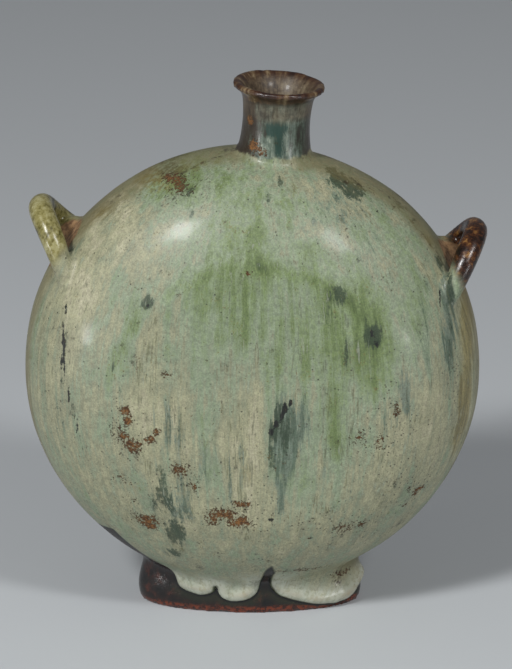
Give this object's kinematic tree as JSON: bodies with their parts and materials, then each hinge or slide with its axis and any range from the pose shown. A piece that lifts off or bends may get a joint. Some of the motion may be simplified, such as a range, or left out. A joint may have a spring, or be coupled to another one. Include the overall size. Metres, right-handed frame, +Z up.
{
  "type": "pilgrim flask",
  "caption": "Round, flat-sided glazed stoneware flask on an oval foot, with a short lipped neck and a cord loop on each shoulder.",
  "frame": {"origin": "on the surface that the foot rests on, under the middle of the flask's overall width and depth", "axes": "+Z up along the height, the neck on top; +Y from the front face of the body to its back face, along its thickness; +X to the right seen from the front"},
  "size_m": [0.2022, 0.0986, 0.241],
  "materials": {
    "body_glaze": "glossy opal glaze, pale mint to grey beige, streaked green",
    "neck_glaze": "glossy, thinner glaze over brown, the lip worn to brown",
    "left_loop_glaze": "glossy olive yellow",
    "right_loop_glaze": "glossy amber brown",
    "iron_clay": "dark brown iron glaze, glossy, red brown at the resting edge",
    "thick_glaze": "thick glossy opal glaze with rolled white edges",
    "bare_clay": "unglazed stoneware, matt"
  },
  "bodies": {
    "root": {"front_dish": "body_glaze", "back_dish": "body_glaze", "seam_coil": "bare_clay", "neck": "neck_glaze", "neck_clay": "body_glaze", "foot_ring": "iron_clay", "foot_clay": "iron_clay", "left_loop": "left_loop_glaze", "right_loop": "right_loop_glaze", "glaze_run": "thick_glaze"}
  },
  "joints": []
}
